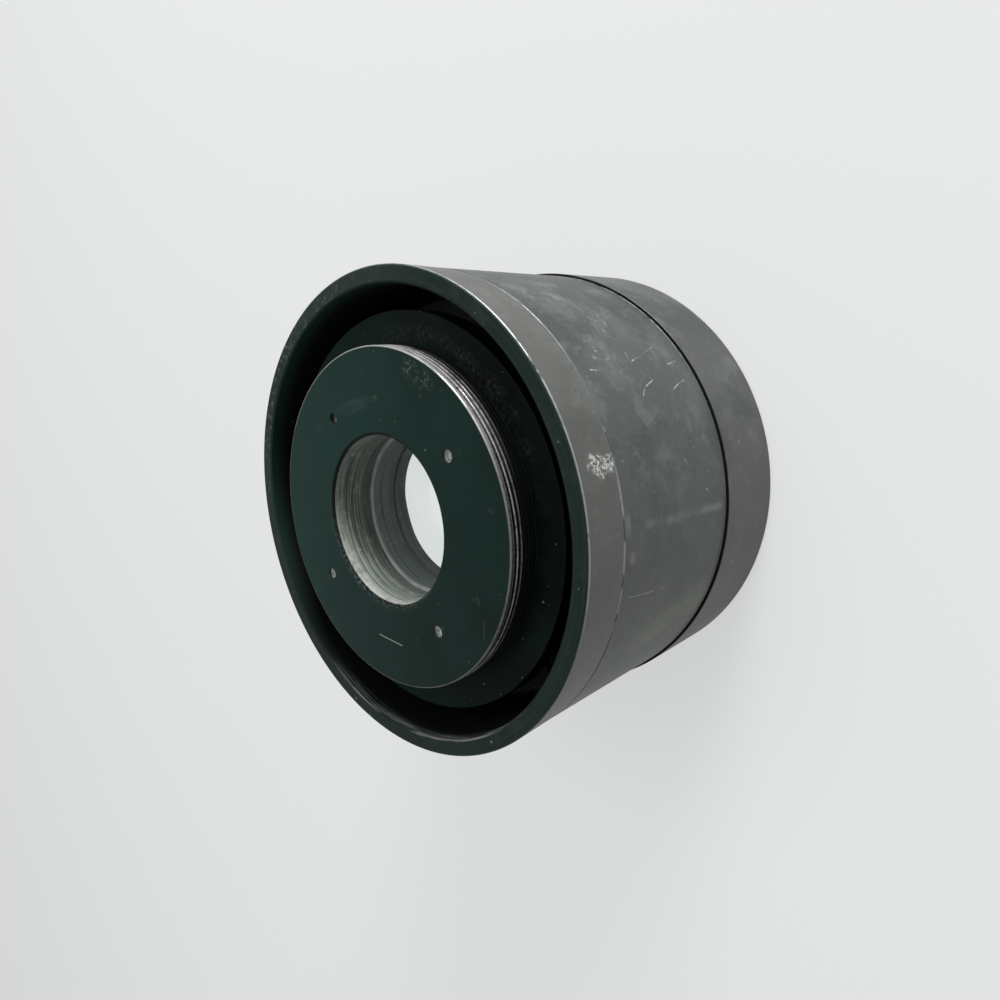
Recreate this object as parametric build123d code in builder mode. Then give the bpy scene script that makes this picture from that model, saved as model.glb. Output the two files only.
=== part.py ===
from build123d import *
import os
from math import sqrt

# Large screw-in microscope objective. Sizes are in millimetres.
# The origin lies on the optical axis in the plane of the mounting seat, with +Z towards the microscope.

# Mounting thread, seat and bore
thread_r = 21.0              # outside of the mounting thread, 40 turns to the inch
thread_length = 4.0          # seat to the front face
thread_edge = 0.1            # chamfer on the first turn
seat_width = 4.0             # radial width of the seat outside the thread
flange_thickness = 3.0
hub_step = 2.0               # the hub is this much smaller in radius than the flange
hub_wall = 4.0
bore_r = 10.5
bore_edge = 0.35             # chamfer at the front of the bore
bore_depth = 6.1             # front face to the shoulder that the rear cell stops at
bore_relief_width = 1.5      # wider band at the inner end of the bore
bore_relief_depth = 0.1

# Pin spanner holes in the front face
spanner_holes = 4
spanner_circle_r = 15.0
spanner_hole_r = 0.75
spanner_hole_depth = 0.8
drill_point = 0.3            # depth of the conical end of each hole

# Outer barrel with its shroud round the thread
seat_gap = 2.9               # open ring between the seat and the shroud
shroud_wall = 2.1
rim_drop = 1.1               # the rim lies this far below the front face
flare = 0.12                 # the rim is this much larger in radius than the barrel
flare_length = 6.3
scribe_width = 0.3
scribe_depth = 0.12
edge_break = 0.2
barrel_length = 28.5
recess_depth = 14.9          # rim to the web that carries the hub
web_thickness = 6.0
hub_inset = 0.5              # the hub ends this far above the web's lower face
socket_wall = 2.8            # barrel wall round the nose ring's spigot

# Nose ring at the lens end
nose_step = 0.2              # the nose ring is this much larger in radius than the rim
joint_gap = 0.22             # open line between the barrel and the nose ring
spigot_wall = 3.0
hood_depth = 3.5
hood_flare = 3.0
nose_edge = 0.5

# Rear lens group, stacked down from the bore's shoulder
shim_thickness = 0.3
sleeve_wall = 0.9
sleeve_length = 3.5
sleeve_reveal = 0.3          # the sleeve's bore is this much smaller in radius than the main bore
lip_thickness = 1.9
lip_reveal = 0.2             # the lens lip is this much smaller in radius than the sleeve's bore
rear_cell_wall = 2.8
rear_flint_centre = 2.0
rear_cement_curve = 45.0
rear_crown_edge = 1.5
rear_curve = 22.3
rear_ring_width = 1.0
rear_ring_height = 2.0

# Front lens group, stacked down from the air space below the rear group
air_space = 5.3
front_top_curve = 92.0
front_crown_edge = 1.2
front_cement_curve = 150.0
front_flint_edge = 1.0
front_curve = 70.0
front_cell_wall = 2.4
front_lip_width = 0.9
front_lip_height = 1.8
front_ring_width = 1.0
front_ring_height = 1.8
stop_thickness = 0.5
stop_width = 3.5
spacer_wall = 3.2
baffle_grooves = 4
baffle_depth = 0.6
lock_height = 1.6
lock_width = 3.1

# Hub lock ring, set screws and slots
hub_lock_height = 2.4
hub_lock_width = 3.5
hub_lock_slots = 4
set_screws = 3
set_screw_r = 1.5
set_screw_sink = 0.3         # the screws end this far inside the hub's surface
screw_slot_width = 0.5
screw_slot_depth = 0.8
ring_slot_width = 1.2
ring_slot_depth = 0.7

# Clearances
fit_gap = 0.1                # between screwed or sliding pieces, in radius
lens_gap = 0.1               # round each lens
seat_clear = 0.02            # between a ring's edge and the glass it holds
cement_gap = 0.02            # cement between the two glasses of a doublet


def sag(curve, r):
    return curve - sqrt(curve**2 - r**2)


def dome(vertex_z, curve, r):
    return (r, vertex_z - sag(curve, r))


def bowl(vertex_z, curve, r):
    return (r, vertex_z + sag(curve, r))


# Radii that follow from the driving sizes
seat_r = thread_r + seat_width
hub_r = seat_r - hub_step
cell_socket_r = hub_r - hub_wall
shroud_r = seat_r + seat_gap
rim_r = shroud_r + shroud_wall
barrel_r = rim_r - flare
web_bore_r = hub_r + fit_gap
socket_r = barrel_r - socket_wall
spigot_r = socket_r - fit_gap
nose_r = rim_r + nose_step
nose_bore_r = spigot_r - spigot_wall
rear_cell_r = cell_socket_r - fit_gap
rear_pocket_r = rear_cell_r - rear_cell_wall
rear_lens_r = rear_pocket_r - lens_gap
rear_ring_r = rear_lens_r - rear_ring_width
sleeve_bore_r = bore_r - sleeve_reveal
sleeve_r = sleeve_bore_r + sleeve_wall
throat_r = sleeve_r + fit_gap
lip_r = sleeve_bore_r - lip_reveal
front_cell_r = nose_bore_r - fit_gap
front_pocket_r = front_cell_r - front_cell_wall
front_lens_r = front_pocket_r - lens_gap
front_lip_r = front_lens_r - front_lip_width
front_ring_r = front_lens_r - front_ring_width
stop_r = front_cell_r - stop_width
spacer_bore_r = front_cell_r - spacer_wall
lock_bore_r = front_cell_r - lock_width
hub_lock_bore_r = hub_r + fit_gap
hub_lock_r = hub_lock_bore_r + hub_lock_width

# Heights of the mount and the barrel
front_z = thread_length
rim_z = front_z - rim_drop
scribe_z = rim_z - flare_length
barrel_end_z = rim_z - barrel_length
web_top_z = rim_z - recess_depth
web_bottom_z = web_top_z - web_thickness
hub_end_z = web_bottom_z + hub_inset
nose_top_z = barrel_end_z - joint_gap
spigot_top_z = web_bottom_z
bore_end_z = front_z - bore_depth
hub_lock_top_z = web_top_z + hub_lock_height
set_screw_z = (hub_lock_top_z - flange_thickness) / 2

# Heights of the rear lens group
cell_top_z = bore_end_z - shim_thickness
lip_top_z = cell_top_z - sleeve_length
lens_seat_z = lip_top_z - lip_thickness
rear_flint_end_z = lens_seat_z - rear_flint_centre
rear_cement_edge_z = rear_flint_end_z - sag(rear_cement_curve, rear_lens_r)
rear_crown_edge_z = rear_cement_edge_z - rear_crown_edge
rear_vertex_z = rear_crown_edge_z - sag(rear_curve, rear_lens_r)
rear_ring_top_z = rear_vertex_z + sag(rear_curve, rear_ring_r) - seat_clear
rear_ring_end_z = rear_ring_top_z - rear_ring_height

# Heights of the front lens group and the nose
front_vertex_z = rear_vertex_z - air_space
front_top_edge_z = front_vertex_z - sag(front_top_curve, front_lens_r)
front_cement_edge_z = front_top_edge_z - front_crown_edge
front_cement_vertex_z = front_cement_edge_z - sag(front_cement_curve, front_lens_r)
front_flint_edge_z = front_cement_edge_z - front_flint_edge
front_end_z = front_flint_edge_z - sag(front_curve, front_lens_r)
front_lip_end_z = front_vertex_z - sag(front_top_curve, front_lip_r) + seat_clear
front_cell_top_z = front_lip_end_z + front_lip_height
stop_top_z = front_cell_top_z + stop_thickness
front_ring_top_z = front_end_z + sag(front_curve, front_ring_r) - seat_clear
front_cell_end_z = front_ring_top_z - front_ring_height
lock_end_z = front_cell_end_z - lock_height
nose_end_z = lock_end_z - hood_depth

os.makedirs("parts", exist_ok=True)

# Mount body: threaded boss, seat flange and hub turned from one bar
with BuildPart() as mount_body:
    with BuildSketch(Plane.XZ):
        with BuildLine():
            Polyline(
                (bore_r, front_z - bore_edge),
                (bore_r + bore_edge, front_z),
                (thread_r - thread_edge, front_z),
                (thread_r, front_z - thread_edge),
                (thread_r, 0),
                (seat_r, 0),
                (seat_r, -flange_thickness),
                (hub_r, -flange_thickness),
                (hub_r, hub_end_z),
                (cell_socket_r, hub_end_z),
                (cell_socket_r, bore_end_z),
                (bore_r + bore_relief_depth, bore_end_z),
                (bore_r + bore_relief_depth, bore_end_z + bore_relief_width),
                (bore_r, bore_end_z + bore_relief_width),
                close=True,
            )
        make_face()
    revolve(axis=Axis.Z)
    with Locations((0, 0, front_z)):
        with PolarLocations(spanner_circle_r, spanner_holes):
            Hole(spanner_hole_r, depth=spanner_hole_depth)
    with Locations((0, 0, front_z - spanner_hole_depth)):
        with PolarLocations(spanner_circle_r, spanner_holes):
            Cone(
                0,
                spanner_hole_r,
                drill_point,
                align=(Align.CENTER, Align.CENTER, Align.MAX),
                mode=Mode.SUBTRACT,
            )
    with Locations((0, 0, set_screw_z)):
        with PolarLocations(hub_r - hub_wall / 2, set_screws):
            Cylinder(
                set_screw_r + fit_gap,
                hub_wall * 2,
                rotation=(0, 90, 0),
                mode=Mode.SUBTRACT,
            )
mount_body.part.label = "mount_body"
export_step(mount_body.part, "parts/mount_body.step")

# Outer barrel: shroud, web for the hub and socket for the nose ring
with BuildPart() as outer_barrel:
    with BuildSketch(Plane.XZ):
        with BuildLine():
            Polyline(
                (shroud_r + edge_break, rim_z),
                (rim_r - edge_break, rim_z),
                (rim_r, rim_z - edge_break),
                (barrel_r, scribe_z + scribe_width / 2),
                (barrel_r - scribe_depth, scribe_z),
                (barrel_r, scribe_z - scribe_width / 2),
                (barrel_r, barrel_end_z + edge_break),
                (barrel_r - edge_break, barrel_end_z),
                (socket_r, barrel_end_z),
                (socket_r, web_bottom_z),
                (web_bore_r, web_bottom_z),
                (web_bore_r, web_top_z),
                (shroud_r, web_top_z),
                (shroud_r, rim_z - edge_break),
                close=True,
            )
        make_face()
    revolve(axis=Axis.Z)
outer_barrel.part.label = "outer_barrel"
export_step(outer_barrel.part, "parts/outer_barrel.step")

# Nose ring: its spigot screws into the barrel, and its bore takes the front cell
with BuildPart() as nose_ring:
    with BuildSketch(Plane.XZ):
        with BuildLine():
            Polyline(
                (nose_bore_r, spigot_top_z),
                (spigot_r, spigot_top_z),
                (spigot_r, nose_top_z),
                (nose_r - edge_break, nose_top_z),
                (nose_r, nose_top_z - edge_break),
                (nose_r, nose_end_z + nose_edge),
                (nose_r - nose_edge, nose_end_z),
                (nose_bore_r + hood_flare, nose_end_z),
                (nose_bore_r, lock_end_z),
                close=True,
            )
        make_face()
    revolve(axis=Axis.Z)
nose_ring.part.label = "nose_ring"
export_step(nose_ring.part, "parts/nose_ring.step")

# Hub lock ring: sits on the web and holds the hub at its height
with BuildPart() as hub_lock_ring:
    with BuildSketch(Plane.XY.offset(web_top_z)):
        Circle(hub_lock_r)
        Circle(hub_lock_bore_r, mode=Mode.SUBTRACT)
    extrude(amount=hub_lock_height)
    with Locations((0, 0, hub_lock_top_z)):
        with PolarLocations((hub_lock_r + hub_lock_bore_r) / 2, hub_lock_slots):
            Box(
                hub_lock_width * 2,
                ring_slot_width,
                ring_slot_depth * 2,
                mode=Mode.SUBTRACT,
            )
hub_lock_ring.part.label = "hub_lock_ring"
export_step(hub_lock_ring.part, "parts/hub_lock_ring.step")

# Cell set screws: hold the rear cell in the hub
with BuildPart() as cell_set_screws:
    screw_length = hub_r - set_screw_sink - cell_socket_r
    screw_middle_r = cell_socket_r + screw_length / 2
    with Locations((0, 0, set_screw_z)):
        with PolarLocations(screw_middle_r, set_screws):
            Cylinder(set_screw_r, screw_length, rotation=(0, 90, 0))
        with PolarLocations(cell_socket_r + screw_length, set_screws):
            Box(
                screw_slot_depth * 2,
                screw_slot_width,
                set_screw_r * 2 + fit_gap,
                mode=Mode.SUBTRACT,
            )
cell_set_screws.part.label = "cell_set_screws"
export_step(cell_set_screws.part, "parts/cell_set_screws.step")

# Cell shim: sets the height of the rear cell
with BuildPart() as cell_shim:
    with BuildSketch(Plane.XY.offset(cell_top_z)):
        Circle(rear_cell_r)
        Circle(sleeve_bore_r, mode=Mode.SUBTRACT)
    extrude(amount=shim_thickness)
cell_shim.part.label = "cell_shim"
export_step(cell_shim.part, "parts/cell_shim.step")

# Rear cell: throat for the sleeve above a lip, lens pocket below it
with BuildPart() as rear_cell:
    with BuildSketch(Plane.XZ):
        with BuildLine():
            Polyline(
                (throat_r, cell_top_z),
                (rear_cell_r, cell_top_z),
                (rear_cell_r, rear_ring_end_z),
                (rear_pocket_r, rear_ring_end_z),
                (rear_pocket_r, lens_seat_z),
                (lip_r, lens_seat_z),
                (lip_r, lip_top_z),
                (throat_r, lip_top_z),
                close=True,
            )
        make_face()
    revolve(axis=Axis.Z)
rear_cell.part.label = "rear_cell"
export_step(rear_cell.part, "parts/rear_cell.step")

# Bore sleeve: glare tube that drops into the rear cell's throat
with BuildPart() as bore_sleeve:
    with BuildSketch(Plane.XY.offset(lip_top_z)):
        Circle(sleeve_r)
        Circle(sleeve_bore_r, mode=Mode.SUBTRACT)
    extrude(amount=sleeve_length)
bore_sleeve.part.label = "bore_sleeve"
export_step(bore_sleeve.part, "parts/bore_sleeve.step")

# Rear doublet: plano-concave flint cemented to a biconvex crown
with BuildPart() as rear_flint_lens:
    with BuildSketch(Plane.XZ):
        with BuildLine():
            Polyline(
                (0, rear_flint_end_z),
                (0, lens_seat_z),
                (rear_lens_r, lens_seat_z),
                dome(rear_flint_end_z, rear_cement_curve, rear_lens_r),
            )
            ThreePointArc(
                dome(rear_flint_end_z, rear_cement_curve, rear_lens_r),
                dome(rear_flint_end_z, rear_cement_curve, rear_lens_r / 2),
                (0, rear_flint_end_z),
            )
        make_face()
    revolve(axis=Axis.Z)
rear_flint_lens.part.label = "rear_flint_lens"
export_step(rear_flint_lens.part, "parts/rear_flint_lens.step")

with BuildPart() as rear_crown_lens:
    crown_top_z = rear_flint_end_z - cement_gap
    with BuildSketch(Plane.XZ):
        with BuildLine():
            ThreePointArc(
                (0, crown_top_z),
                dome(crown_top_z, rear_cement_curve, rear_lens_r / 2),
                dome(crown_top_z, rear_cement_curve, rear_lens_r),
            )
            Line(
                dome(crown_top_z, rear_cement_curve, rear_lens_r),
                bowl(rear_vertex_z, rear_curve, rear_lens_r),
            )
            ThreePointArc(
                bowl(rear_vertex_z, rear_curve, rear_lens_r),
                bowl(rear_vertex_z, rear_curve, rear_lens_r / 2),
                (0, rear_vertex_z),
            )
            Line((0, rear_vertex_z), (0, crown_top_z))
        make_face()
    revolve(axis=Axis.Z)
rear_crown_lens.part.label = "rear_crown_lens"
export_step(rear_crown_lens.part, "parts/rear_crown_lens.step")

# Rear retaining ring: slotted, bears on the crown from below
with BuildPart() as rear_retaining_ring:
    with BuildSketch(Plane.XY.offset(rear_ring_end_z)):
        Circle(rear_lens_r)
        Circle(rear_ring_r, mode=Mode.SUBTRACT)
    extrude(amount=rear_ring_height)
    with Locations((0, 0, rear_ring_end_z)):
        Box(
            rear_lens_r * 2 + fit_gap,
            ring_slot_width,
            ring_slot_depth * 2,
            mode=Mode.SUBTRACT,
        )
rear_retaining_ring.part.label = "rear_retaining_ring"
export_step(rear_retaining_ring.part, "parts/rear_retaining_ring.step")

# Spacer tube: keeps the groups apart, with baffle grooves in its bore
with BuildPart() as spacer_tube:
    spacer_length = web_bottom_z - stop_top_z
    groove_pitch = spacer_length / (baffle_grooves + 1)
    with BuildSketch(Plane.XY.offset(stop_top_z)):
        Circle(front_cell_r)
        Circle(spacer_bore_r, mode=Mode.SUBTRACT)
    extrude(amount=spacer_length)
    for number in range(1, baffle_grooves + 1):
        with BuildSketch(Plane.XY.offset(stop_top_z + groove_pitch * number)):
            Circle(spacer_bore_r + baffle_depth)
        extrude(amount=groove_pitch / 4, both=True, mode=Mode.SUBTRACT)
spacer_tube.part.label = "spacer_tube"
export_step(spacer_tube.part, "parts/spacer_tube.step")

# Aperture stop: thin plate between the spacer and the front cell
with BuildPart() as aperture_stop:
    with BuildSketch(Plane.XY.offset(front_cell_top_z)):
        Circle(front_cell_r)
        Circle(stop_r, mode=Mode.SUBTRACT)
    extrude(amount=stop_thickness)
aperture_stop.part.label = "aperture_stop"
export_step(aperture_stop.part, "parts/aperture_stop.step")

# Front cell: lip above the doublet, pocket open towards the nose
with BuildPart() as front_cell:
    with BuildSketch(Plane.XZ):
        with BuildLine():
            Polyline(
                (front_lip_r, front_cell_top_z),
                (front_cell_r, front_cell_top_z),
                (front_cell_r, front_cell_end_z),
                (front_pocket_r, front_cell_end_z),
                (front_pocket_r, front_lip_end_z),
                (front_lip_r, front_lip_end_z),
                close=True,
            )
        make_face()
    revolve(axis=Axis.Z)
front_cell.part.label = "front_cell"
export_step(front_cell.part, "parts/front_cell.step")

# Front doublet: biconvex crown cemented to a meniscus flint
with BuildPart() as front_crown_lens:
    with BuildSketch(Plane.XZ):
        with BuildLine():
            ThreePointArc(
                (0, front_vertex_z),
                dome(front_vertex_z, front_top_curve, front_lens_r / 2),
                dome(front_vertex_z, front_top_curve, front_lens_r),
            )
            Line(
                dome(front_vertex_z, front_top_curve, front_lens_r),
                bowl(front_cement_vertex_z, front_cement_curve, front_lens_r),
            )
            ThreePointArc(
                bowl(front_cement_vertex_z, front_cement_curve, front_lens_r),
                bowl(front_cement_vertex_z, front_cement_curve, front_lens_r / 2),
                (0, front_cement_vertex_z),
            )
            Line((0, front_cement_vertex_z), (0, front_vertex_z))
        make_face()
    revolve(axis=Axis.Z)
front_crown_lens.part.label = "front_crown_lens"
export_step(front_crown_lens.part, "parts/front_crown_lens.step")

with BuildPart() as front_flint_lens:
    flint_top_z = front_cement_vertex_z - cement_gap
    with BuildSketch(Plane.XZ):
        with BuildLine():
            ThreePointArc(
                (0, flint_top_z),
                bowl(flint_top_z, front_cement_curve, front_lens_r / 2),
                bowl(flint_top_z, front_cement_curve, front_lens_r),
            )
            Line(
                bowl(flint_top_z, front_cement_curve, front_lens_r),
                bowl(front_end_z, front_curve, front_lens_r),
            )
            ThreePointArc(
                bowl(front_end_z, front_curve, front_lens_r),
                bowl(front_end_z, front_curve, front_lens_r / 2),
                (0, front_end_z),
            )
            Line((0, front_end_z), (0, flint_top_z))
        make_face()
    revolve(axis=Axis.Z)
front_flint_lens.part.label = "front_flint_lens"
export_step(front_flint_lens.part, "parts/front_flint_lens.step")

# Front retaining ring: slotted, bears on the flint from the nose side
with BuildPart() as front_retaining_ring:
    with BuildSketch(Plane.XY.offset(front_cell_end_z)):
        Circle(front_lens_r)
        Circle(front_ring_r, mode=Mode.SUBTRACT)
    extrude(amount=front_ring_height)
    with Locations((0, 0, front_cell_end_z)):
        Box(
            front_lens_r * 2 + fit_gap,
            ring_slot_width,
            ring_slot_depth * 2,
            mode=Mode.SUBTRACT,
        )
front_retaining_ring.part.label = "front_retaining_ring"
export_step(front_retaining_ring.part, "parts/front_retaining_ring.step")

# Nose lock ring: slotted, locks the front cell in the nose ring
with BuildPart() as nose_lock_ring:
    with BuildSketch(Plane.XY.offset(lock_end_z)):
        Circle(front_cell_r)
        Circle(lock_bore_r, mode=Mode.SUBTRACT)
    extrude(amount=lock_height)
    with Locations((0, 0, lock_end_z)):
        Box(
            front_cell_r * 2 + fit_gap,
            ring_slot_width,
            ring_slot_depth * 2,
            mode=Mode.SUBTRACT,
        )
nose_lock_ring.part.label = "nose_lock_ring"
export_step(nose_lock_ring.part, "parts/nose_lock_ring.step")
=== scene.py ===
import math

import bmesh
import bpy
from mathutils import Matrix, Vector


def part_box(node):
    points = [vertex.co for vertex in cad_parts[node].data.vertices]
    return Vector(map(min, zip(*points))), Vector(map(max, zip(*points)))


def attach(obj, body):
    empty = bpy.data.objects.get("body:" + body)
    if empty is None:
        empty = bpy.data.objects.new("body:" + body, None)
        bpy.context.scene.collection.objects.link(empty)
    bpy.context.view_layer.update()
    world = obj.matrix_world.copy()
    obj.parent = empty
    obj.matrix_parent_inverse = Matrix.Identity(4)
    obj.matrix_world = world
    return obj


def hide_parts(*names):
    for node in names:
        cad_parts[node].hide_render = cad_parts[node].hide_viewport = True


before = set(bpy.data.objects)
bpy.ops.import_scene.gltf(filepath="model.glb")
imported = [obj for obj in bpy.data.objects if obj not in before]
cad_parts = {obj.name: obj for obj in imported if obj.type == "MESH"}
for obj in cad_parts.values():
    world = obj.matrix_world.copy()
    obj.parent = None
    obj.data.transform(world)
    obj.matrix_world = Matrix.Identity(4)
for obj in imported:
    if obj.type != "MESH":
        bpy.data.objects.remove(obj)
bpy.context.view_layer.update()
print("frame loaded,", len(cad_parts), "nodes")

mm = 0.001
fullTurn = 2 * math.pi
tiny = 1e-9
cornerShare = 0.2  # of each side, at most, goes into rounding a corner
flatReach = 2  # rows this many times the rounding from a corner keep its sides flat
mountSegments = 360
shellSegments = 480
ringSegments = 240
drillSegments = 32


def operator(operation, reflected=False):
    def apply(self, value):
        return self.math(operation, value, self) if reflected else self.math(operation, self, value)
    return apply


class Link:  # one socket of a node tree, so that node maths reads as plain maths
    def __init__(self, tree, socket=None):
        self.tree = tree
        self.socket = socket

    def node(self, kind, values=None, settings=None, out=0):
        made = self.tree.nodes.new(kind)
        for key, value in (settings or {}).items():
            setattr(made, key, value)
        for key, value in (values or {}).items():
            if isinstance(value, Link):
                self.tree.links.new(value.socket, made.inputs[key])
            else:
                made.inputs[key].default_value = value
        return Link(self.tree, made.outputs[out]) if len(made.outputs) else None

    def other(self, out):  # another output of the same node
        return Link(self.tree, self.socket.node.outputs[out])

    def math(self, operation, first, second=0.0):
        return self.node("ShaderNodeMath", {0: first, 1: second}, {"operation": operation})

    def vector(self, operation, first, second, out=0):
        return self.node("ShaderNodeVectorMath", {0: first, 1: second}, {"operation": operation}, out)

    __add__ = operator("ADD")
    __radd__ = operator("ADD", True)
    __sub__ = operator("SUBTRACT")
    __rsub__ = operator("SUBTRACT", True)
    __mul__ = operator("MULTIPLY")
    __rmul__ = operator("MULTIPLY", True)
    __truediv__ = operator("DIVIDE")
    __rtruediv__ = operator("DIVIDE", True)
    __pow__ = operator("POWER")
    most = operator("MAXIMUM")
    least = operator("MINIMUM")

    def __abs__(self):
        return self.math("ABSOLUTE", self)

    def fade(self, low, high):  # 0 at low, 1 at high, smooth between, and low may be the larger
        return self.node(
            "ShaderNodeMapRange",
            {"Value": self, "From Min": low, "From Max": high, "To Min": 0.0, "To Max": 1.0},
            {"interpolation_type": "SMOOTHSTEP", "clamp": True},
        )

    def band(self, middle, half, soft):  # 1 within half of middle, then down to 0 over soft
        return abs(self - middle).fade(half + soft, half)


def roundAxis(point):  # a point's x, y and z, with its radius and angle round the optical axis
    x = point.node("ShaderNodeSeparateXYZ", {0: point})
    y = x.other(1)
    return x, y, x.other(2), (x * x + y * y) ** 0.5, point.math("ARCTAN2", y, x)


def meshFrom(shape, name):
    mesh = bpy.data.meshes.new(name)
    shape.to_mesh(mesh)
    shape.free()
    return mesh


def addObject(name, data):
    made = bpy.data.objects.new(name, data)
    bpy.context.scene.collection.objects.link(made)
    return made


# Turned pieces: an outline in radius and height, spun round the optical axis
def corner(radius, height, finish=0, soft=0.06 * mm, step=0.0):  # step spaces rows added after it
    return radius, height, finish, soft, step


def cornerReach(corners, index):
    here = Vector(corners[index][:2])
    before = Vector(corners[index - 1][:2]) - here
    after = Vector(corners[(index + 1) % len(corners)][:2]) - here
    if corners[index][0] < tiny or corners[index][3] == 0:
        return 0.0, before.normalized(), after.normalized()
    reach = min(corners[index][3], before.length * cornerShare, after.length * cornerShare)
    return reach, before.normalized(), after.normalized()


def traced(corners, arcSteps=4):  # rounds each corner and adds the rows that a thread needs
    line = []
    for index, (radius, height, finish, _, step) in enumerate(corners):
        here = Vector((radius, height))
        reach, back, ahead = cornerReach(corners, index)
        earlier = corners[index - 1][2]
        if reach == 0:
            line.append((radius, height, finish))
        else:
            start = here + back * reach
            end = here + ahead * reach
            line.append((*(here + back * reach * flatReach), earlier))
            for part in range(arcSteps + 1):
                share = part / arcSteps
                place = start.lerp(here, share).lerp(here.lerp(end, share), share)
                line.append((*place, finish if share > 0.5 else earlier))
            line.append((*(here + ahead * reach * flatReach), finish))
        if step:
            following = (index + 1) % len(corners)
            nextReach, nextBack = cornerReach(corners, following)[:2]
            first = here + ahead * reach * flatReach
            last = Vector(corners[following][:2]) + nextBack * nextReach * flatReach
            rows = max(1, round((last - first).length / step))
            for row in range(1, rows):
                line.append((*first.lerp(last, row / rows), finish))
    return line


def turned(name, outline, finishes, segments=ringSegments):
    line = traced([corner(*spot) for spot in outline])
    shape = bmesh.new()
    rings = []
    for radius, height, _ in line:
        if radius < tiny:
            rings.append([shape.verts.new((0, 0, height))] * segments)
            continue
        ring = []
        for part in range(segments):
            angle = fullTurn * part / segments
            ring.append(shape.verts.new((radius * math.cos(angle), radius * math.sin(angle), height)))
        rings.append(ring)
    for index, ring in enumerate(rings):
        following = rings[(index + 1) % len(rings)]
        for part in range(segments):
            ahead = (part + 1) % segments
            around = dict.fromkeys([ring[part], ring[ahead], following[ahead], following[part]])
            if len(around) > 2:  # fewer where both rings are points on the axis
                face = shape.faces.new(list(around))
                face.material_index = line[index][2]
    bmesh.ops.recalc_face_normals(shape, faces=shape.faces)
    piece = addObject(name, meshFrom(shape, name))
    for finish in finishes:
        piece.data.materials.append(finish)
    return piece


def settle(piece, slotName, *nodes, sharpAngle=32):  # hard edges, then the frame's calls
    for face in piece.data.polygons:
        face.use_smooth = True
    piece.data.set_sharp_from_angle(angle=math.radians(sharpAngle))
    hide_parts(*nodes)
    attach(piece, "root")


def turnedBox(node):  # outer radius, lower and upper height of a turned CAD node
    low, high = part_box(node)
    return high.x, low.z, high.z


# Geometry Nodes: a thread cut into a turned piece, and cuts repeated round the axis
def newTree(name, inputs):
    tree = bpy.data.node_groups.new(name, "GeometryNodeTree")
    tree.interface.new_socket("Geometry", in_out="OUTPUT", socket_type="NodeSocketGeometry")
    tree.interface.new_socket("Geometry", in_out="INPUT", socket_type="NodeSocketGeometry")
    for label, kind in inputs.items():
        tree.interface.new_socket(label, in_out="INPUT", socket_type="NodeSocket" + kind)
    entry = tree.nodes.new("NodeGroupInput")
    given = {socket.name: Link(tree, socket) for socket in entry.outputs if socket.name}
    return tree, given


def applyTree(piece, tree, values):
    modifier = piece.modifiers.new(tree.name, "NODES")
    modifier.node_group = tree
    for item in tree.interface.items_tree:
        if item.in_out == "INPUT" and item.name in values:
            modifier[item.identifier] = values[item.name]
    graph = bpy.context.evaluated_depsgraph_get()
    mesh = bpy.data.meshes.new_from_object(piece.evaluated_get(graph), depsgraph=graph)
    piece.modifiers.remove(modifier)
    plain = piece.data
    piece.data = mesh
    bpy.data.meshes.remove(plain)


def cutThreadTree():
    tree, given = newTree("cutThread", {
        "Pitch": "Float",
        "Depth": "Float",  # inward for a screw, negative for a nut
        "Wall Radius": "Float",
        "Low": "Float",
        "High": "Float",
        "Runout": "Float",
        "Lead": "Float",  # plain wall left below High
        "Shift": "Float",  # how far down the turns are moved
        "Reach": "Float",  # how far from the wall radius a point still belongs to it
        "Crest": "Float",  # share of the pitch left at full height
        "Root": "Float",  # share of the pitch at full depth
        "Finish": "Material",
    })
    start = given["Geometry"]
    x, y, z, radius, angle = roundAxis(start.node("GeometryNodeInputPosition"))
    turns = (z + given["Shift"]) / given["Pitch"] - angle / fullTurn
    wave = abs(start.math("FRACT", turns) * 2 - 1)  # 0 in the root, 1 on the crest
    height = ((wave - given["Root"]) / (1 - given["Root"] - given["Crest"])).most(0).least(1)
    low, high = given["Low"], given["High"]
    top = high - given["Lead"]
    window = z.fade(low, low + given["Runout"]) * z.fade(top, top - given["Runout"])
    cut = given["Depth"] * (1 - height) * window
    scale = 1 - cut / radius
    moved = start.node("ShaderNodeCombineXYZ", {0: x * scale, 1: y * scale, 2: z})
    onWall = start.math("LESS_THAN", abs(radius - given["Wall Radius"]), given["Reach"])
    inside = start.math("LESS_THAN", abs(z - (low + high) / 2), (high - low) / 2)
    chosen = onWall * inside
    shaped = start.node("GeometryNodeSetPosition", {
        "Geometry": start, "Selection": chosen, "Position": moved})
    real = start.node("GeometryNodeRealizeInstances", {"Geometry": shaped})
    finished = start.node("GeometryNodeSetMaterial", {
        "Geometry": real, "Selection": chosen, "Material": given["Finish"]})
    start.node("NodeGroupOutput", {"Geometry": finished})
    return tree


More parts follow.
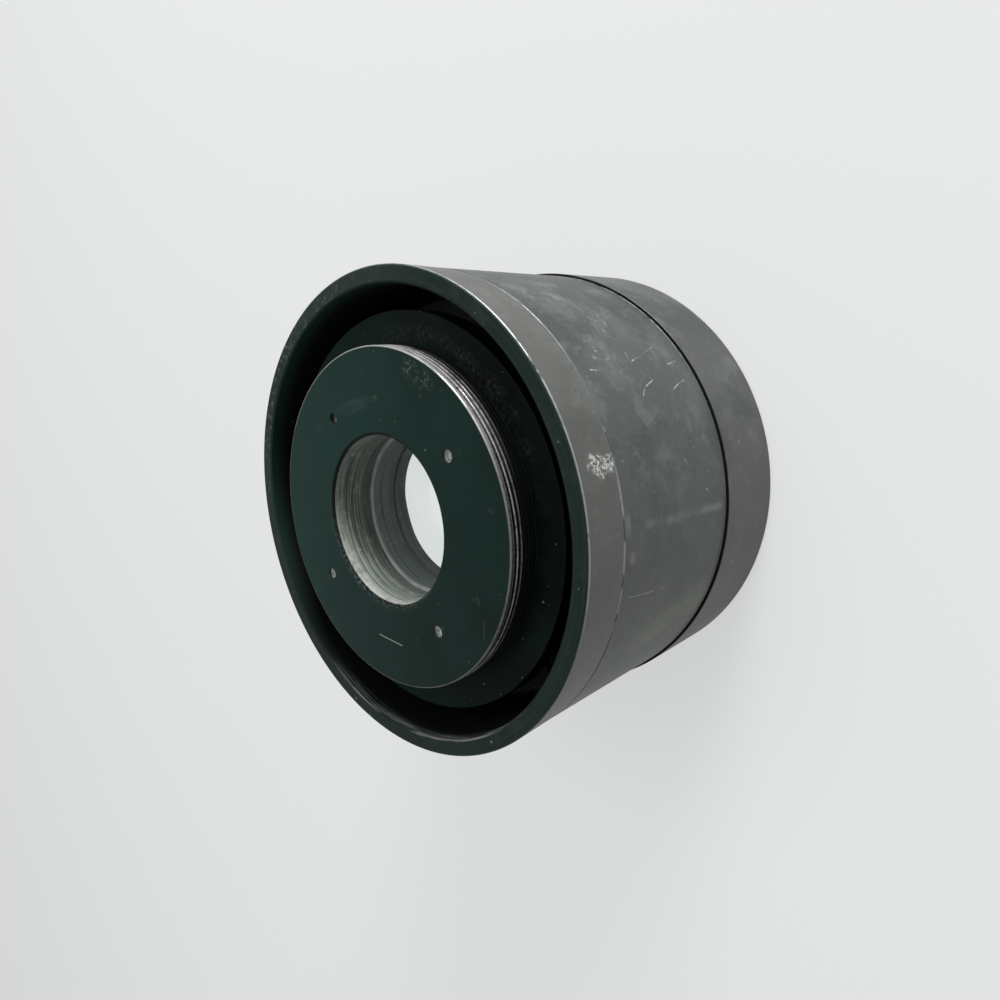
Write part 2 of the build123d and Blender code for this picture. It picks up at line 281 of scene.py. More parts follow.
def cutRoundTree():
    tree, given = newTree("cutRound", {
        "Cutter": "Object",
        "Count": "Int",
        "Circle Radius": "Float",
        "Height": "Float",
        "Finish": "Material",
    })
    start = given["Geometry"]
    index = start.node("GeometryNodeInputIndex")
    angle = index * fullTurn / given["Count"]
    spot = start.node("ShaderNodeCombineXYZ", {
        0: given["Circle Radius"] * start.math("COSINE", angle),
        1: given["Circle Radius"] * start.math("SINE", angle),
        2: given["Height"]})
    spots = start.node("GeometryNodePoints", {"Count": given["Count"], "Position": spot})
    heading = start.node("ShaderNodeCombineXYZ", {2: angle})
    turning = start.node("FunctionNodeEulerToRotation", {0: heading})
    cutter = start.node("GeometryNodeObjectInfo", {"Object": given["Cutter"]}, out="Geometry")
    placed = start.node("GeometryNodeInstanceOnPoints", {
        "Points": spots, "Instance": cutter, "Rotation": turning})
    real = start.node("GeometryNodeRealizeInstances", {"Geometry": placed})
    finished = start.node("GeometryNodeSetMaterial", {
        "Geometry": real, "Material": given["Finish"]})
    cut = start.node("GeometryNodeMeshBoolean", {"Mesh 1": start, "Mesh 2": finished},
                     {"operation": "DIFFERENCE", "solver": "EXACT"})
    start.node("NodeGroupOutput", {"Geometry": cut})
    return tree


threadCut = cutThreadTree()
roundCut = cutRoundTree()


def cutBlock(name, length, width, height):  # a cutter for slots
    shape = bmesh.new()
    bmesh.ops.create_cube(shape, size=1)
    bmesh.ops.scale(shape, vec=(length, width, height), verts=shape.verts)
    return addObject(name, meshFrom(shape, name))


def cutRound(piece, cutter, count, circleRadius, height, finish):
    applyTree(piece, roundCut, {
        "Cutter": cutter, "Count": count, "Circle Radius": circleRadius, "Height": height,
        "Finish": finish})
    bpy.data.objects.remove(cutter)


# Shared parts of the finishes
def newFinish(name):
    finish = bpy.data.materials.new(name)
    finish.use_nodes = True
    finish.node_tree.nodes.clear()
    return finish, Link(finish.node_tree)


def turnedFinish(name):  # with the object point, its radius and angle round the axis, and its height
    finish, start = newFinish(name)
    point = start.node("ShaderNodeTexCoord", out="Object")
    _, _, z, radius, angle = roundAxis(point)
    return finish, start, point, radius, angle, z


def dress(finish, start, colour, roughness, metallic=0.0, normal=None, specular=0.5):
    values = {"Base Color": colour, "Roughness": roughness, "Metallic": metallic}
    values["Specular IOR Level"] = specular
    if normal:
        values["Normal"] = normal
    shader = start.node("ShaderNodeBsdfPrincipled", values)
    start.node("ShaderNodeOutputMaterial", {"Surface": shader})
    return finish


def layered(look, base, *layers):  # each layer is a mask and the name of the colour it lays on
    colour = look[base]
    for mask, name in layers:
        values = {0: mask, 6: colour, 7: look[name]}
        colour = mask.node("ShaderNodeMix", values, {"data_type": "RGBA"}, 2)
    return colour


def noise(point, scale, detail=3.0, rough=0.5):
    return point.node("ShaderNodeTexNoise", {
        "Vector": point, "Scale": scale, "Detail": detail, "Roughness": rough})


def facing(angle, degrees):  # 1 on the side at that angle, -1 opposite
    return angle.math("COSINE", angle - math.radians(degrees))


def onSide(angle, degrees, low, high):  # fades in between two cosines from that side
    return facing(angle, degrees).fade(low, high)


def flat(start, first, second):
    return start.node("ShaderNodeCombineXYZ", {0: first, 1: second})


def stroke(place, start, end, width, core):  # a soft line on a flat or unrolled surface
    along = Vector(end) - Vector(start)
    offset = place.vector("SUBTRACT", place, start)
    share = place.vector("DOT_PRODUCT", offset, along, "Value") / along.length_squared
    share = share.most(0).least(1)
    nearest = place.node("ShaderNodeVectorMath", {0: along, "Scale": share}, {"operation": "SCALE"})
    return place.vector("DISTANCE", offset, nearest, "Value").fade(width, width * core)


def strokes(place, paths, width, core=0.35):  # core is the share of the width at full strength
    mask = None
    for path in paths:
        for start, end in zip(path, path[1:]):
            line = stroke(place, start, end, width, core)
            mask = line if mask is None else mask.most(line)
    return mask


def specks(point, scale, size, share):  # sparse dots of dust
    cells = point.node("ShaderNodeTexVoronoi", {"Vector": point, "Scale": scale})
    pick = point.node("ShaderNodeSeparateColor", {0: cells.other("Color")})
    return cells.fade(size, size * 0.5) * point.math("LESS_THAN", pick, share)


def bump(height, strength, distance=0.02 * mm):
    return height.node("ShaderNodeBump", {
        "Height": height, "Strength": strength, "Distance": distance})


# Sizes that several pieces and finishes share
rimR, barrelEndZ, rimZ = turnedBox("outer_barrel")
noseR, noseEndZ, spigotTopZ = turnedBox("nose_ring")
seatR, hubEndZ, frontZ = turnedBox("mount_body")
cellR, cellEndZ, cellTopZ = turnedBox("rear_cell")
lipTopZ, sleeveTopZ = turnedBox("bore_sleeve")[1:]
boreEndZ = turnedBox("cell_shim")[2]
threadR = 21 * mm
boreR = 10.5 * mm
barrelR = rimR - 0.12 * mm
shroudR = rimR - 2.1 * mm
scribeZ = rimZ - 6.3 * mm
jointGap = 0.14 * mm
noseTopZ = barrelEndZ - jointGap
edgeBreak = 0.2 * mm
jointBreak = 0.07 * mm
jointSoft = 0.03 * mm
boreEdge = 0.35 * mm


def unrolled(degrees, height):  # a place on the barrel's outside as arc length and height
    return (math.radians(degrees) * rimR, height * mm, 0)


# Finish of the outside: worn satin black on the barrel and nose ring; on the upper side it also carries
# a painted dark reflection, a painted highlight at the joint, and haze that is partly painted sheen
shellLook = {
    "main": (0.060, 0.067, 0.064, 1),
    "frontBand": (0.085, 0.088, 0.081, 1),
    "nose": (0.067, 0.071, 0.067, 1),
    "haze": (0.150, 0.162, 0.157, 1),
    # darker colour for mottle, and for the painted dark reflection on the upper side
    "rubbedAndDarkReflection": (0.022, 0.028, 0.026, 1),
    "bare": (0.40, 0.40, 0.39, 1),
    "chalk": (0.50, 0.51, 0.49, 1),
    "smear": (0.125, 0.145, 0.070, 1),
    "roughness": 0.44,
    "hookWidth": 0.09 * mm,
    "faintWidth": 0.117 * mm,
    "hooks": [  # paths on the barrel, in degrees round it and mm of height
        [(0.7, -13.5), (1.3, -14.4), (1.9, -15.6)],
        [(-4.1, -16.0), (-5.2, -14.2), (-6.2, -13.3), (-7.4, -12.7)],
        [(-0.4, -21.0), (0.3, -23.1)],
        [(-7.5, -18.7), (-6.7, -19.5), (-5.8, -20.7)],
        [(-29.7, -20.4), (-30.4, -20.7), (-31.2, -21.3)],
        [(4.4, -8.5), (4.2, -8.8)],
        [(-0.3, -5.6), (-0.5, -6.8)],
    ],
    "faintHooks": [
        [(3.4, -13.9), (0.9, -13.6)],
        [(1.9, -15.6), (4.6, -20.1)],
        [(-1.1, -15.3), (-2.4, -15.6), (-4.1, -16.0)],
        [(-5.8, -20.7), (-4.8, -22.7)],
        [(-10.9, -21.5), (-11.8, -21.2)],
        [(2.1, -9.7), (2.0, -10.0)],
        [(-11.6, -3.4), (-13.5, -3.5)],
        [(-22.3, -16.7), (-24.1, -17.3)],
        [(-47.7, -3.8), (-49.0, -8.4), (-49.8, -12.7)],
    ],
    "streakWidth": 0.85 * mm,
    "streaks": [
        [(-34.4, -11.8), (-34.5, -16.6), (-35.4, -24.4)],
        [(-33.6, -7.6), (-33.6, -9.7)],
        [(-30.5, -4.0), (-34.3, -4.2)],
        [(-39.0, -4.9), (-39.8, -4.9)],
    ],
    "smearWidth": 2.8 * mm,
    "smears": [[(-63.2, -11.3), (-60.7, -15.9), (-59.1, -23.8)]],
    # the side with more haze and mottle: partly wear, partly painted sheen where the light falls
    "wornAndLitSide": (22, 0.50, 0.97),  # degrees, and the cosines between which it fades in
    "scuffSide": (18, 0.90, 0.99),
    "scuffBand": (-9.0 * mm, 3.5 * mm, 4.0 * mm),  # middle, half width and soft edge
    "patch": (-19.6, -1.2),  # the chalky patch, in degrees and mm
    "patchHalf": (1.1, 1.9),  # its half width and half height, in mm
    "frontReach": (-0.05 * mm, 0.05 * mm),  # across the scribed line
    "edgeSide": (2, 0.30, 0.85),
    "edgeReach": (0.15 * mm, 0.06 * mm),
    # where the painted highlight at the joint is strongest
    "jointHighlightSide": (27, 0.84, 0.97),
    "jointHighlightBand": (0.20 * mm, 0.14 * mm, 0.08 * mm),  # above the barrel's end
    "scribeSide": (27, 0.95, 0.995),
    "scribeBand": (0.07 * mm, 0.05 * mm),
    "scribeDustSide": (-38, 0.93, 0.985),
    "scribeDustBand": (0.13 * mm, 0.06 * mm),
    # where the painted dark reflection lies round the barrel
    "darkReflectionSide": (24, 0.91, 0.99),
}


def onBarrel(paths):
    return [[unrolled(*spot) for spot in path] for path in paths]


# The outer corner of the rim, rubbed bare on the side that shows
def rimEdgeWear(point, radius, angle, z):
    patchy = noise(point, 260, 4, 0.65)
    gap = ((radius - rimR) ** 2 + (z - rimZ + edgeBreak) ** 2) ** 0.5
    side = onSide(angle, *shellLook["edgeSide"])
    return gap.fade(*shellLook["edgeReach"]) * side * patchy.fade(0.34, 0.50) * 0.85


def shellFinish():
    look = shellLook
    finish, start, point, radius, angle, z = turnedFinish("satinShell")
    place = flat(start, angle * rimR, z)
    cloud = noise(point, 70, 5, 0.6)
    blotch = noise(point, 210, 5, 0.7)
    grain = noise(point, 2200, 2)
    lines = noise(flat(start, angle * 6, z * 900), 3, 3)  # fine marks round the barrel
    patchy = noise(point, 260, 4, 0.65)
    onBand = (z - scribeZ).fade(*look["frontReach"])
    # more haze and mottle towards that side: partly wear, partly painted sheen
    wearAndSheen = (0.45 + onSide(angle, *look["wornAndLitSide"]) * 0.55) * (1 - onBand * 0.5)
    # painted reflection: a darker band on the upper side of the barrel, not on the front band
    upper = onSide(angle, *look["darkReflectionSide"]) * (1 - onBand)
    smear = strokes(place, onBarrel(look["smears"]), look["smearWidth"])
    streak = strokes(place, onBarrel(look["streaks"]), look["streakWidth"], 0)
    scuff = onSide(angle, *look["scuffSide"]) * z.band(*look["scuffBand"])
    flecks = noise(point, 1250, 4, 0.7).fade(0.56, 0.65) * blotch.fade(0.42, 0.58)
    flecks = flecks * (0.25 + scuff * 0.75)
    broken = noise(point, 760, 3).fade(0.36, 0.58)
    hook = strokes(place, onBarrel(look["hooks"]), look["hookWidth"]) * broken
    faint = strokes(place, onBarrel(look["faintHooks"]), look["faintWidth"]) * broken
    patchMiddle = unrolled(*look["patch"])
    aside = abs(angle * rimR - patchMiddle[0]) / (look["patchHalf"][0] * mm)
    along = abs(z - patchMiddle[1]) / (look["patchHalf"][1] * mm)
    spread = aside ** 2 + along ** 2 + (noise(point, 800, 3) - 0.5) * 4
    patch = spread.fade(1.7, 0.7) * noise(point, 2400, 4, 0.75).fade(0.48, 0.56)
    dust = specks(point, 430, 0.09, 0.16).most(specks(point, 900, 0.10, 0.08))
    scribeDust = z.band(scribeZ, *look["scribeDustBand"]) * onSide(angle, *look["scribeDustSide"])
    scribeDust = scribeDust * patchy.fade(0.36, 0.52)
    pale = (hook * 0.8).most(faint * 0.34).most(patch).most(dust * 0.4).most(flecks * 0.20)
    # painted highlight: a pale broken line along the barrel's edge at the joint, strongest on the upper
    # side
    jointHighlight = (z - barrelEndZ).band(*look["jointHighlightBand"]) * patchy.fade(0.38, 0.54)
    jointHighlight = jointHighlight * (0.06 + onSide(angle, *look["jointHighlightSide"]) * 0.64)
    jointHighlight = jointHighlight * (0.40 + noise(point, 1500, 3).fade(0.40, 0.58) * 0.60)
    pale = pale.most(scribeDust * 0.5).most(jointHighlight)
    scribeSide = onSide(angle, *look["scribeSide"]) * 0.5 + 0.15
    scribeWear = z.band(scribeZ, *look["scribeBand"]) * patchy.fade(0.38, 0.56) * scribeSide
    bare = rimEdgeWear(point, radius, angle, z).most(scribeWear)
    # the first darker layer on the upper side is the painted reflection, the second is mottle
    colour = layered(
        look, "main",
        (onBand, "frontBand"),
        (z.fade(barrelEndZ, noseTopZ), "nose"),
        (upper * (0.30 + cloud.fade(0.58, 0.42) * 0.35), "rubbedAndDarkReflection"),
        (cloud.fade(0.46, 0.64) * wearAndSheen * 0.32, "haze"),
        (noise(point, 90, 5, 0.7).fade(0.50, 0.62) * wearAndSheen * 0.55, "rubbedAndDarkReflection"),
        (blotch.fade(0.52, 0.64) * wearAndSheen * 0.34, "haze"),
        (grain.fade(0.56, 0.72) * 0.18, "haze"),
        (smear * blotch.fade(0.36, 0.60) * 0.45, "smear"),
        (streak * (0.25 + noise(point, 330, 2).fade(0.38, 0.62) * 0.55), "haze"),
        (pale, "chalk"),
        (bare, "bare"),
    )
    rough = look["roughness"] + cloud * 0.16 - 0.08 + hook * 0.15 + patch * 0.25
    relief = grain * 0.5 + lines * 0.5 - hook * 1.5 - patch * 0.8
    return dress(finish, start, colour, rough,
                 metallic=bare * 0.8, normal=bump(relief, 0.25), specular=0.4)


# Finish of the rim's face: finer and darker than the outside
rimLook = {
    "main": (0.0045, 0.0175, 0.0145, 1),
    "scuff": (0.036, 0.052, 0.047, 1),
    "dust": (0.24, 0.26, 0.25, 1),
    "bare": (0.40, 0.40, 0.39, 1),
    # the side where the rim face is dustier, and where the recess carries its painted reflection
    "dustAndReflectionSide": 108,
    "greySide": (70, 0.80, 0.97),
    "lowerSide": 240,
    "innerReach": (0.28 * mm, 0.10 * mm),
}


def rimFinish():
    look = rimLook
    finish, start, point, radius, angle, z = turnedFinish("rimFace")
    rings = noise(flat(start, radius * 2600, angle * 1.5), 1.5, 3)  # turning marks
    patchy = noise(point, 240, 4, 0.65)
    upper = facing(angle, look["dustAndReflectionSide"])
    dusty = upper.fade(0.55, 0.95) * noise(point, 1500, 4, 0.7).fade(0.54, 0.64)
    haze = upper.fade(0.30, 0.90) * noise(point, 2300, 3, 0.7).fade(0.42, 0.66)
    dots = specks(point, 520, 0.11, 0.25).most(specks(point, 1000, 0.12, 0.12))
    low = facing(angle, look["lowerSide"]).fade(0.25, 0.90)
    outer = rimEdgeWear(point, radius, angle, z)
    inner = (radius - shroudR).fade(*look["innerReach"]) * patchy.fade(0.42, 0.60)
    inner = inner * (0.12 + low * 0.3)
    colour = layered(
        look, "main",
        (rings.fade(0.45, 0.70) * 0.25, "scuff"),
        (patchy.fade(0.54, 0.72) * 0.4, "scuff"),
        (onSide(angle, *look["greySide"]) * 0.30, "scuff"),
        (haze * 0.45, "scuff"),
        ((dots * 0.7).most(dusty * patchy.fade(0.36, 0.56) * 0.42), "dust"),
        (outer.most(inner), "bare"),
    )
    return dress(finish, start, colour, 0.40 + patchy * 0.16,
                 metallic=outer * 0.9, normal=bump(rings, 0.2, 0.01 * mm), specular=0.24)


# Finish of the recess and the hidden walls: flat black paint, scuffed inside the rim, with a painted
# green reflection on the wall next to the rim
recessLook = {
    "deep": (0.0020, 0.0028, 0.0026, 1),
    # the colour of a painted green reflection on the wall next to the rim
    "paintedRimReflection": (0.0120, 0.0330, 0.0260, 1),
    "scuff": (0.15, 0.16, 0.15, 1),
    "dust": (0.20, 0.21, 0.20, 1),
    "paintedReflectionReach": (-3.2 * mm, -0.4 * mm),  # from the rim
    "scuffReach": (-2.0 * mm, -0.6 * mm),
}


def recessFinish():
    look = recessLook
    finish, start, point, _, angle, z = turnedFinish("flatBlack")
    grain = noise(point, 1800, 3)
    # painted reflection: the wall next to the rim is lighter and greener, most on the upper side
    upper = 0.3 + facing(angle, rimLook["dustAndReflectionSide"]).fade(0.1, 0.8) * 0.7
    lines = noise(flat(start, z * 4200, angle * 2.5), 1.5, 4, 0.6)
    low = facing(angle, rimLook["lowerSide"]).fade(0.70, 0.92)
    scuff = (z - rimZ).fade(*look["scuffReach"]) * low * lines.fade(0.44, 0.58)
    colour = layered(
        look, "deep",
        ((z - rimZ).fade(*look["paintedReflectionReach"]) * upper, "paintedRimReflection"),
        (scuff * 0.9, "scuff"),
        (specks(point, 480, 0.09, 0.14) * 0.6, "dust"),
    )
    return dress(finish, start, colour, 0.62 + grain * 0.2, normal=bump(grain, 0.2), specular=0.2)


# Finish of the front plate: smooth green-black with dust and a scratch, with painted light on one side
# fading to painted shade on the other
plateLook = {
    # shaded and lit are one paint, as painted shade and painted light
    "shaded": (0.0010, 0.0120, 0.0088, 1),
    "lit": (0.0050, 0.0360, 0.0295, 1),
    "boreEdge": (0.0008, 0.0030, 0.0024, 1),
    "litSide": 125,
    "dust": (0.24, 0.27, 0.26, 1),
    "bare": (0.62, 0.62, 0.60, 1),
    "scratches": [[(-11.0, -10.8), (-7.6, -13.8)]],  # paths on the plate, in mm
    "faintScratches": [[(8.2, -17.0), (6.7, -18.8)]],
    "arcs": [
        [(0.9, 15.3), (4.0, 14.6), (9.0, 11.9)],
        [(2.7, 13.9), (7.0, 12.5)],
    ],
    "dustBands": [[(16.1, 11.0), (16.9, 9.1), (17.3, 8.1)]],
    "scratchWidth": 0.09 * mm,
    "faintWidth": 0.10 * mm,
    "arcWidth": 0.55 * mm,
    "bandWidth": 1.7 * mm,
    "chamferReach": (0.02 * mm, -0.06 * mm),
    "boreDustSide": (215, 0.1, 0.9),
    "boreDustReach": (1.2 * mm, 0.2 * mm),
    "edgeReach": (0.20 * mm, 0.10 * mm),
}


def onPlate(paths):  # places on the front plate
    return [[(x * mm, y * mm, 0) for x, y in path] for path in paths]


def litShare(point, degrees):  # painted light: 0 at the far side of the thread, 1 on the side at that angle
    turn = math.radians(degrees)
    way = (math.cos(turn), math.sin(turn), 0)
    return (point.vector("DOT_PRODUCT", point, way, "Value") / threadR).fade(-1.1, 1.1)


def plateFinish():
    look = plateLook
    finish, start, point, radius, angle, z = turnedFinish("platePaint")
    place = start.vector("MULTIPLY", point, (1, 1, 0))
    cloud = noise(point, 95, 5, 0.6)
    fine = noise(point, 1400, 4, 0.65)
    # painted light and shade: the shaded colour on the far side, the lit colour towards litSide
    shade = litShare(point, look["litSide"]) * 0.75 + cloud.fade(0.40, 0.66) * 0.25
    chamfer = (radius - boreR - boreEdge).fade(*look["chamferReach"])
    arc = strokes(place, onPlate(look["arcs"]), look["arcWidth"])
    arc = arc * noise(point, 260, 4, 0.6).fade(0.34, 0.58)
    band = strokes(place, onPlate(look["dustBands"]), look["bandWidth"], 0)
    band = band * noise(point, 2300, 3, 0.7).fade(0.50, 0.60) * noise(point, 700, 3).fade(0.36, 0.56)
    ring = (radius - boreR).fade(*look["boreDustReach"]) * noise(point, 2600, 3, 0.7).fade(0.48, 0.60)
    ring = ring * onSide(angle, *look["boreDustSide"])
    dots = specks(point, 420, 0.085, 0.22).most(specks(point, 900, 0.11, 0.14))
    smudge = specks(point, 240, 0.20, 0.30) * fine.fade(0.42, 0.60)
    faint = strokes(place, onPlate(look["faintScratches"]), look["faintWidth"])
    dust = (arc * 0.065).most(band * 0.45).most(ring * 0.22).most(dots * 0.4).most(faint * 0.12)
    dust = dust.most(smudge * 0.08)
    scratch = strokes(place, onPlate(look["scratches"]), look["scratchWidth"])
    rim = ((radius - threadR) ** 2 + (z - frontZ) ** 2) ** 0.5
    side = onSide(angle, *threadLook["wornAndLitSide"])
    nicked = 0.45 + noise(point, 300, 3).fade(0.28, 0.52) * 0.55
    # the bare edge is stronger on the lit side: partly wear, partly painted highlight
    edge = rim.fade(*look["edgeReach"]) * nicked * (0.3 + side * 0.7)
    bare = edge.most(scratch * 0.7)
    colour = layered(
        look, "shaded", (shade, "lit"), (chamfer, "boreEdge"), (dust, "dust"), (bare, "bare"))
    return dress(finish, start, colour, 0.36 + cloud * 0.12 + dust * 0.3,
                 metallic=bare * 0.8, normal=bump(fine, 0.12, 0.012 * mm), specular=0.2)


# Finish of the seat: black, with grime along the foot of the thread, and painted light on one side
# fading to painted shade on the other
seatLook = {
    # shaded and lit are one paint, as painted shade and painted light
    "shaded": (0.0008, 0.0022, 0.0018, 1),
    "lit": (0.0060, 0.0270, 0.0210, 1),
    "litSide": 155,
    "grime": (0.052, 0.054, 0.049, 1),
    "dust": (0.24, 0.26, 0.25, 1),
    "grimeSide": (25, 0.60, 0.97),
    "grimeBand": (1.2 * mm, 0.5 * mm, 1.1 * mm),  # out from the thread
}


def seatFinish():
    look = seatLook
    finish, start, point, radius, angle, _ = turnedFinish("seatPaint")
    cloud = noise(point, 120, 5, 0.65)
    # painted light and shade: the shaded colour on the far side, the lit colour towards litSide
    shade = litShare(point, look["litSide"]) * 0.8 + cloud.fade(0.40, 0.66) * 0.2
    foot = (radius - threadR).band(*look["grimeBand"]) * onSide(angle, *look["grimeSide"])
    crusty = noise(point, 1900, 5, 0.72).fade(0.42, 0.64) * noise(point, 420, 3).fade(0.30, 0.60)
    dots = specks(point, 520, 0.10, 0.26).most(specks(point, 1000, 0.12, 0.20))
    colour = layered(
        look, "shaded", (shade, "lit"), (foot * crusty * 0.6, "grime"), (dots * 0.5, "dust"))
    return dress(finish, start, colour, 0.45 + cloud * 0.2, specular=0.1)


# Finish of the mounting thread: black in the roots, bare metal on the crests; crests, grime and land
# are brighter on the lit side, partly wear and partly painted highlight
threadLook = {
    "root": (0.0015, 0.0022, 0.0022, 1),
    "grime": (0.20, 0.20, 0.195, 1),
    "bare": (0.76, 0.74, 0.74, 1),
    # the side with brighter crests: partly wear, partly painted highlight where the light falls
    "wornAndLitSide": (62, 0.10, 0.80),
    "wornFrom": 0.8 * mm,  # the turns near the seat are still black
    "wornLess": 0.9 * mm,  # and more of them are, away from the worn and lit side
    "wornFull": 3.2 * mm,
    "crestReach": (-0.13 * mm, -0.02 * mm),
    "land": (3.66 * mm, 0.10 * mm, 0.12 * mm),  # the plain land before the first turn is duller
    "grimy": (1.4 * mm, 2.8 * mm),
}


def threadFinish():
    look = threadLook
    finish, start, point, radius, angle, z = turnedFinish("threadMetal")
    patchy = noise(point, 420, 5, 0.7)
    crest = (radius - threadR).fade(*look["crestReach"])
    # crests bare further down, grime and a less dull land on the lit side: partly wear, partly painted
    # highlight
    side = onSide(angle, *look["wornAndLitSide"])
    black = look["wornFrom"] + (1 - side) * look["wornLess"]
    deep = ((z - black) / (look["wornFull"] - black)).most(0).least(1) ** 1.4
    marks = noise(flat(start, z * 9000, angle * 2), 1.0, 3)
    land = z.band(*look["land"])
    dull = (0.45 + marks.fade(0.40, 0.60) * 0.40).most((1 - side) * 0.88)
    deep = deep * (1 - land * dull)
    chipped = 0.45 + noise(point, 2400, 3, 0.7).fade(0.36, 0.54) * 0.55
    worn = crest * patchy.fade(0.24, 0.50) * chipped * (0.85 + side * 0.15) * deep
    grimy = side * z.fade(*look["grimy"]) * patchy.fade(0.30, 0.55)
    colour = layered(look, "root", (grimy * 0.8, "grime"), (worn, "bare"))
    return dress(finish, start, colour, 0.60 - worn * 0.28,
                 metallic=worn, normal=bump(patchy, 0.15), specular=0.1)


# Finish of the bore: dull dusty metal, ringed by the tool, with painted light on the front band and
# painted shade in the grooves and relief
boreLook = {
    "metal": (0.310, 0.350, 0.310, 1),
    # the colour of the painted light on the front band, and of dust
    "pale": (0.500, 0.500, 0.470, 1),
    "dark": (0.085, 0.105, 0.090, 1),
    # the side where painted light falls into the bore
    "paintedLightSide": (215, 0.1, 0.95),
    "paintedLightReach": (2.6 * mm, 0.3 * mm),  # down from the front plate
    "grooveReach": (0.02 * mm, 0.09 * mm),
    # painted shade in the grooves, and darker still in the relief
    "grooveShade": 0.75,
    "reliefReach": (1.6 * mm, 1.4 * mm),
    "reliefShade": 0.45,
}


def boreFinish():
    look = boreLook
    finish, start, point, radius, angle, z = turnedFinish("boreMetal")
    rings = noise(flat(start, z * 5200, angle * 1.2), 1.0, 4, 0.6)
    dusty = noise(point, 800, 4, 0.65)
    # painted light: the front of the bore is paler, most on the lower side where light falls in, broken
    # up by dust
    side = onSide(angle, *look["paintedLightSide"])
    pale = (frontZ - z).fade(*look["paintedLightReach"]) * (0.25 + side * 0.75)
    # painted shade: the grooves and, darker still, the relief are shaded in colour
    groove = (radius - boreR).fade(*look["grooveReach"])
    inRelief = (z - boreEndZ).fade(*look["reliefReach"])
    shade = look["grooveShade"] - inRelief * (look["grooveShade"] - look["reliefShade"])
    colour = layered(
        look, "dark",
        (rings.fade(0.32, 0.66), "metal"),
        (pale * dusty.fade(0.30, 0.55) * 0.8, "pale"),
        (dusty.fade(0.54, 0.72) * 0.6, "pale"),
        (groove * shade, "dark"),
    )
    return dress(finish, start, colour, 0.55 + dusty * 0.2,
                 metallic=0.1, normal=bump(rings * 0.6 + dusty * 0.4, 0.3))


# Finish of the sleeve and the lip behind the bore: smooth green-grey with dust
sleeveLook = {
    "dark": (0.190, 0.235, 0.215, 1),
    "light": (0.300, 0.350, 0.325, 1),
    "seam": (0.070, 0.085, 0.078, 1),
    "dust": (0.48, 0.50, 0.48, 1),
    "seamBand": (0.10 * mm, 0.12 * mm),
    "markDepth": 1.3 * mm,  # a tool mark this far down the sleeve
    "markBand": (0.04 * mm, 0.08 * mm),
    "markEdge": (-0.16 * mm, 0.03 * mm, 0.06 * mm),  # the pale edge below it
    "pitReach": (0.4 * mm, -0.6 * mm),
}


def sleeveFinish():
    look = sleeveLook
    finish, start, point, _, angle, z = turnedFinish("sleeveGrey")
    rings = noise(flat(start, z * 3000, angle), 1.0, 3)
    dusty = noise(point, 900, 4, 0.65)
    mark = sleeveTopZ - look["markDepth"]
    seam = z.band(lipTopZ, *look["seamBand"]).most(z.band(mark, *look["markBand"]))
    pits = specks(point, 900, 0.22, 0.30) * (z - lipTopZ).fade(*look["pitReach"])
    dots = specks(point, 800, 0.12, 0.20).most((z - mark).band(*look["markEdge"]) * 0.7)
    colour = layered(
        look, "dark",
        (rings.fade(0.35, 0.75), "light"),
        (seam * 0.75, "seam"),
        (pits * 0.6, "seam"),
        ((dusty.fade(0.56, 0.72) * 0.5).most(dots * 0.6), "dust"),
    )
    return dress(finish, start, colour, 0.46 + dusty * 0.16,
                 metallic=0.05, normal=bump(rings, 0.2, 0.01 * mm))


# Finish of the spanner holes: black at the mouth, bare below, and dirtier in the hole on +Y
drilledLook = {
    "wall": (0.012, 0.015, 0.014, 1),
    "endDark": (0.44, 0.47, 0.45, 1),
    "endPale": (0.80, 0.83, 0.80, 1),
    "dirtySide": (90, 0.980, 0.995),
    "mouth": 0.30 * mm,
    "dirtyMouth": 0.55 * mm,
    "mouthReach": (0.05 * mm, -0.05 * mm),
}


def drilledFinish():
    look = drilledLook
    finish, start, point, _, angle, z = turnedFinish("drilledEnd")
    dull = noise(point, 1500, 4, 0.65)
    dirty = onSide(angle, *look["dirtySide"])
    mouth = look["mouth"] + dirty * (look["dirtyMouth"] - look["mouth"])
    wall = (frontZ - z - mouth).fade(*look["mouthReach"])
    colour = layered(
        look, "endDark", (dull.fade(0.38, 0.62), "endPale"), (wall.most(dirty * 0.6), "wall"))
    return dress(finish, start, colour, 0.50 + dull * 0.2, metallic=0.1, normal=bump(dull, 0.3))


# Finish of the inner pieces: black anodised, with tool marks and a little dust
innerLook = {
    "dark": (0.010, 0.012, 0.012, 1),
    "light": (0.024, 0.028, 0.027, 1),
    "dust": (0.16, 0.17, 0.16, 1),
}


def innerFinish():
    look = innerLook
    finish, start, point, radius, angle, z = turnedFinish("innerBlack")
    rings = noise(flat(start, (z + radius) * 3600, angle), 1.0, 3)
    dusty = noise(point, 700, 4, 0.65)
    colour = layered(
        look, "dark", (rings.fade(0.4, 0.75), "light"), (dusty.fade(0.62, 0.76) * 0.5, "dust"))
    return dress(finish, start, colour, 0.46 + dusty * 0.18, normal=bump(rings, 0.25, 0.012 * mm))


# Finish of the shim and of the set screws: dull steel
metalLooks = {
    "shimMetal": {
        "dark": (0.46, 0.49, 0.47, 1), "pale": (0.62, 0.65, 0.63, 1), "scale": 600, "grit": 0.5,
        "reach": (0.4, 0.7), "roughness": (0.45, 0.2), "metallic": 0.3, "relief": 0.0,
    },
    "bareSteel": {
        "dark": (0.30, 0.32, 0.31, 1), "pale": (0.56, 0.58, 0.56, 1), "scale": 1300, "grit": 0.6,
        "reach": (0.35, 0.70), "roughness": (0.40, 0.25), "metallic": 0.55, "relief": 0.3,
    },
}


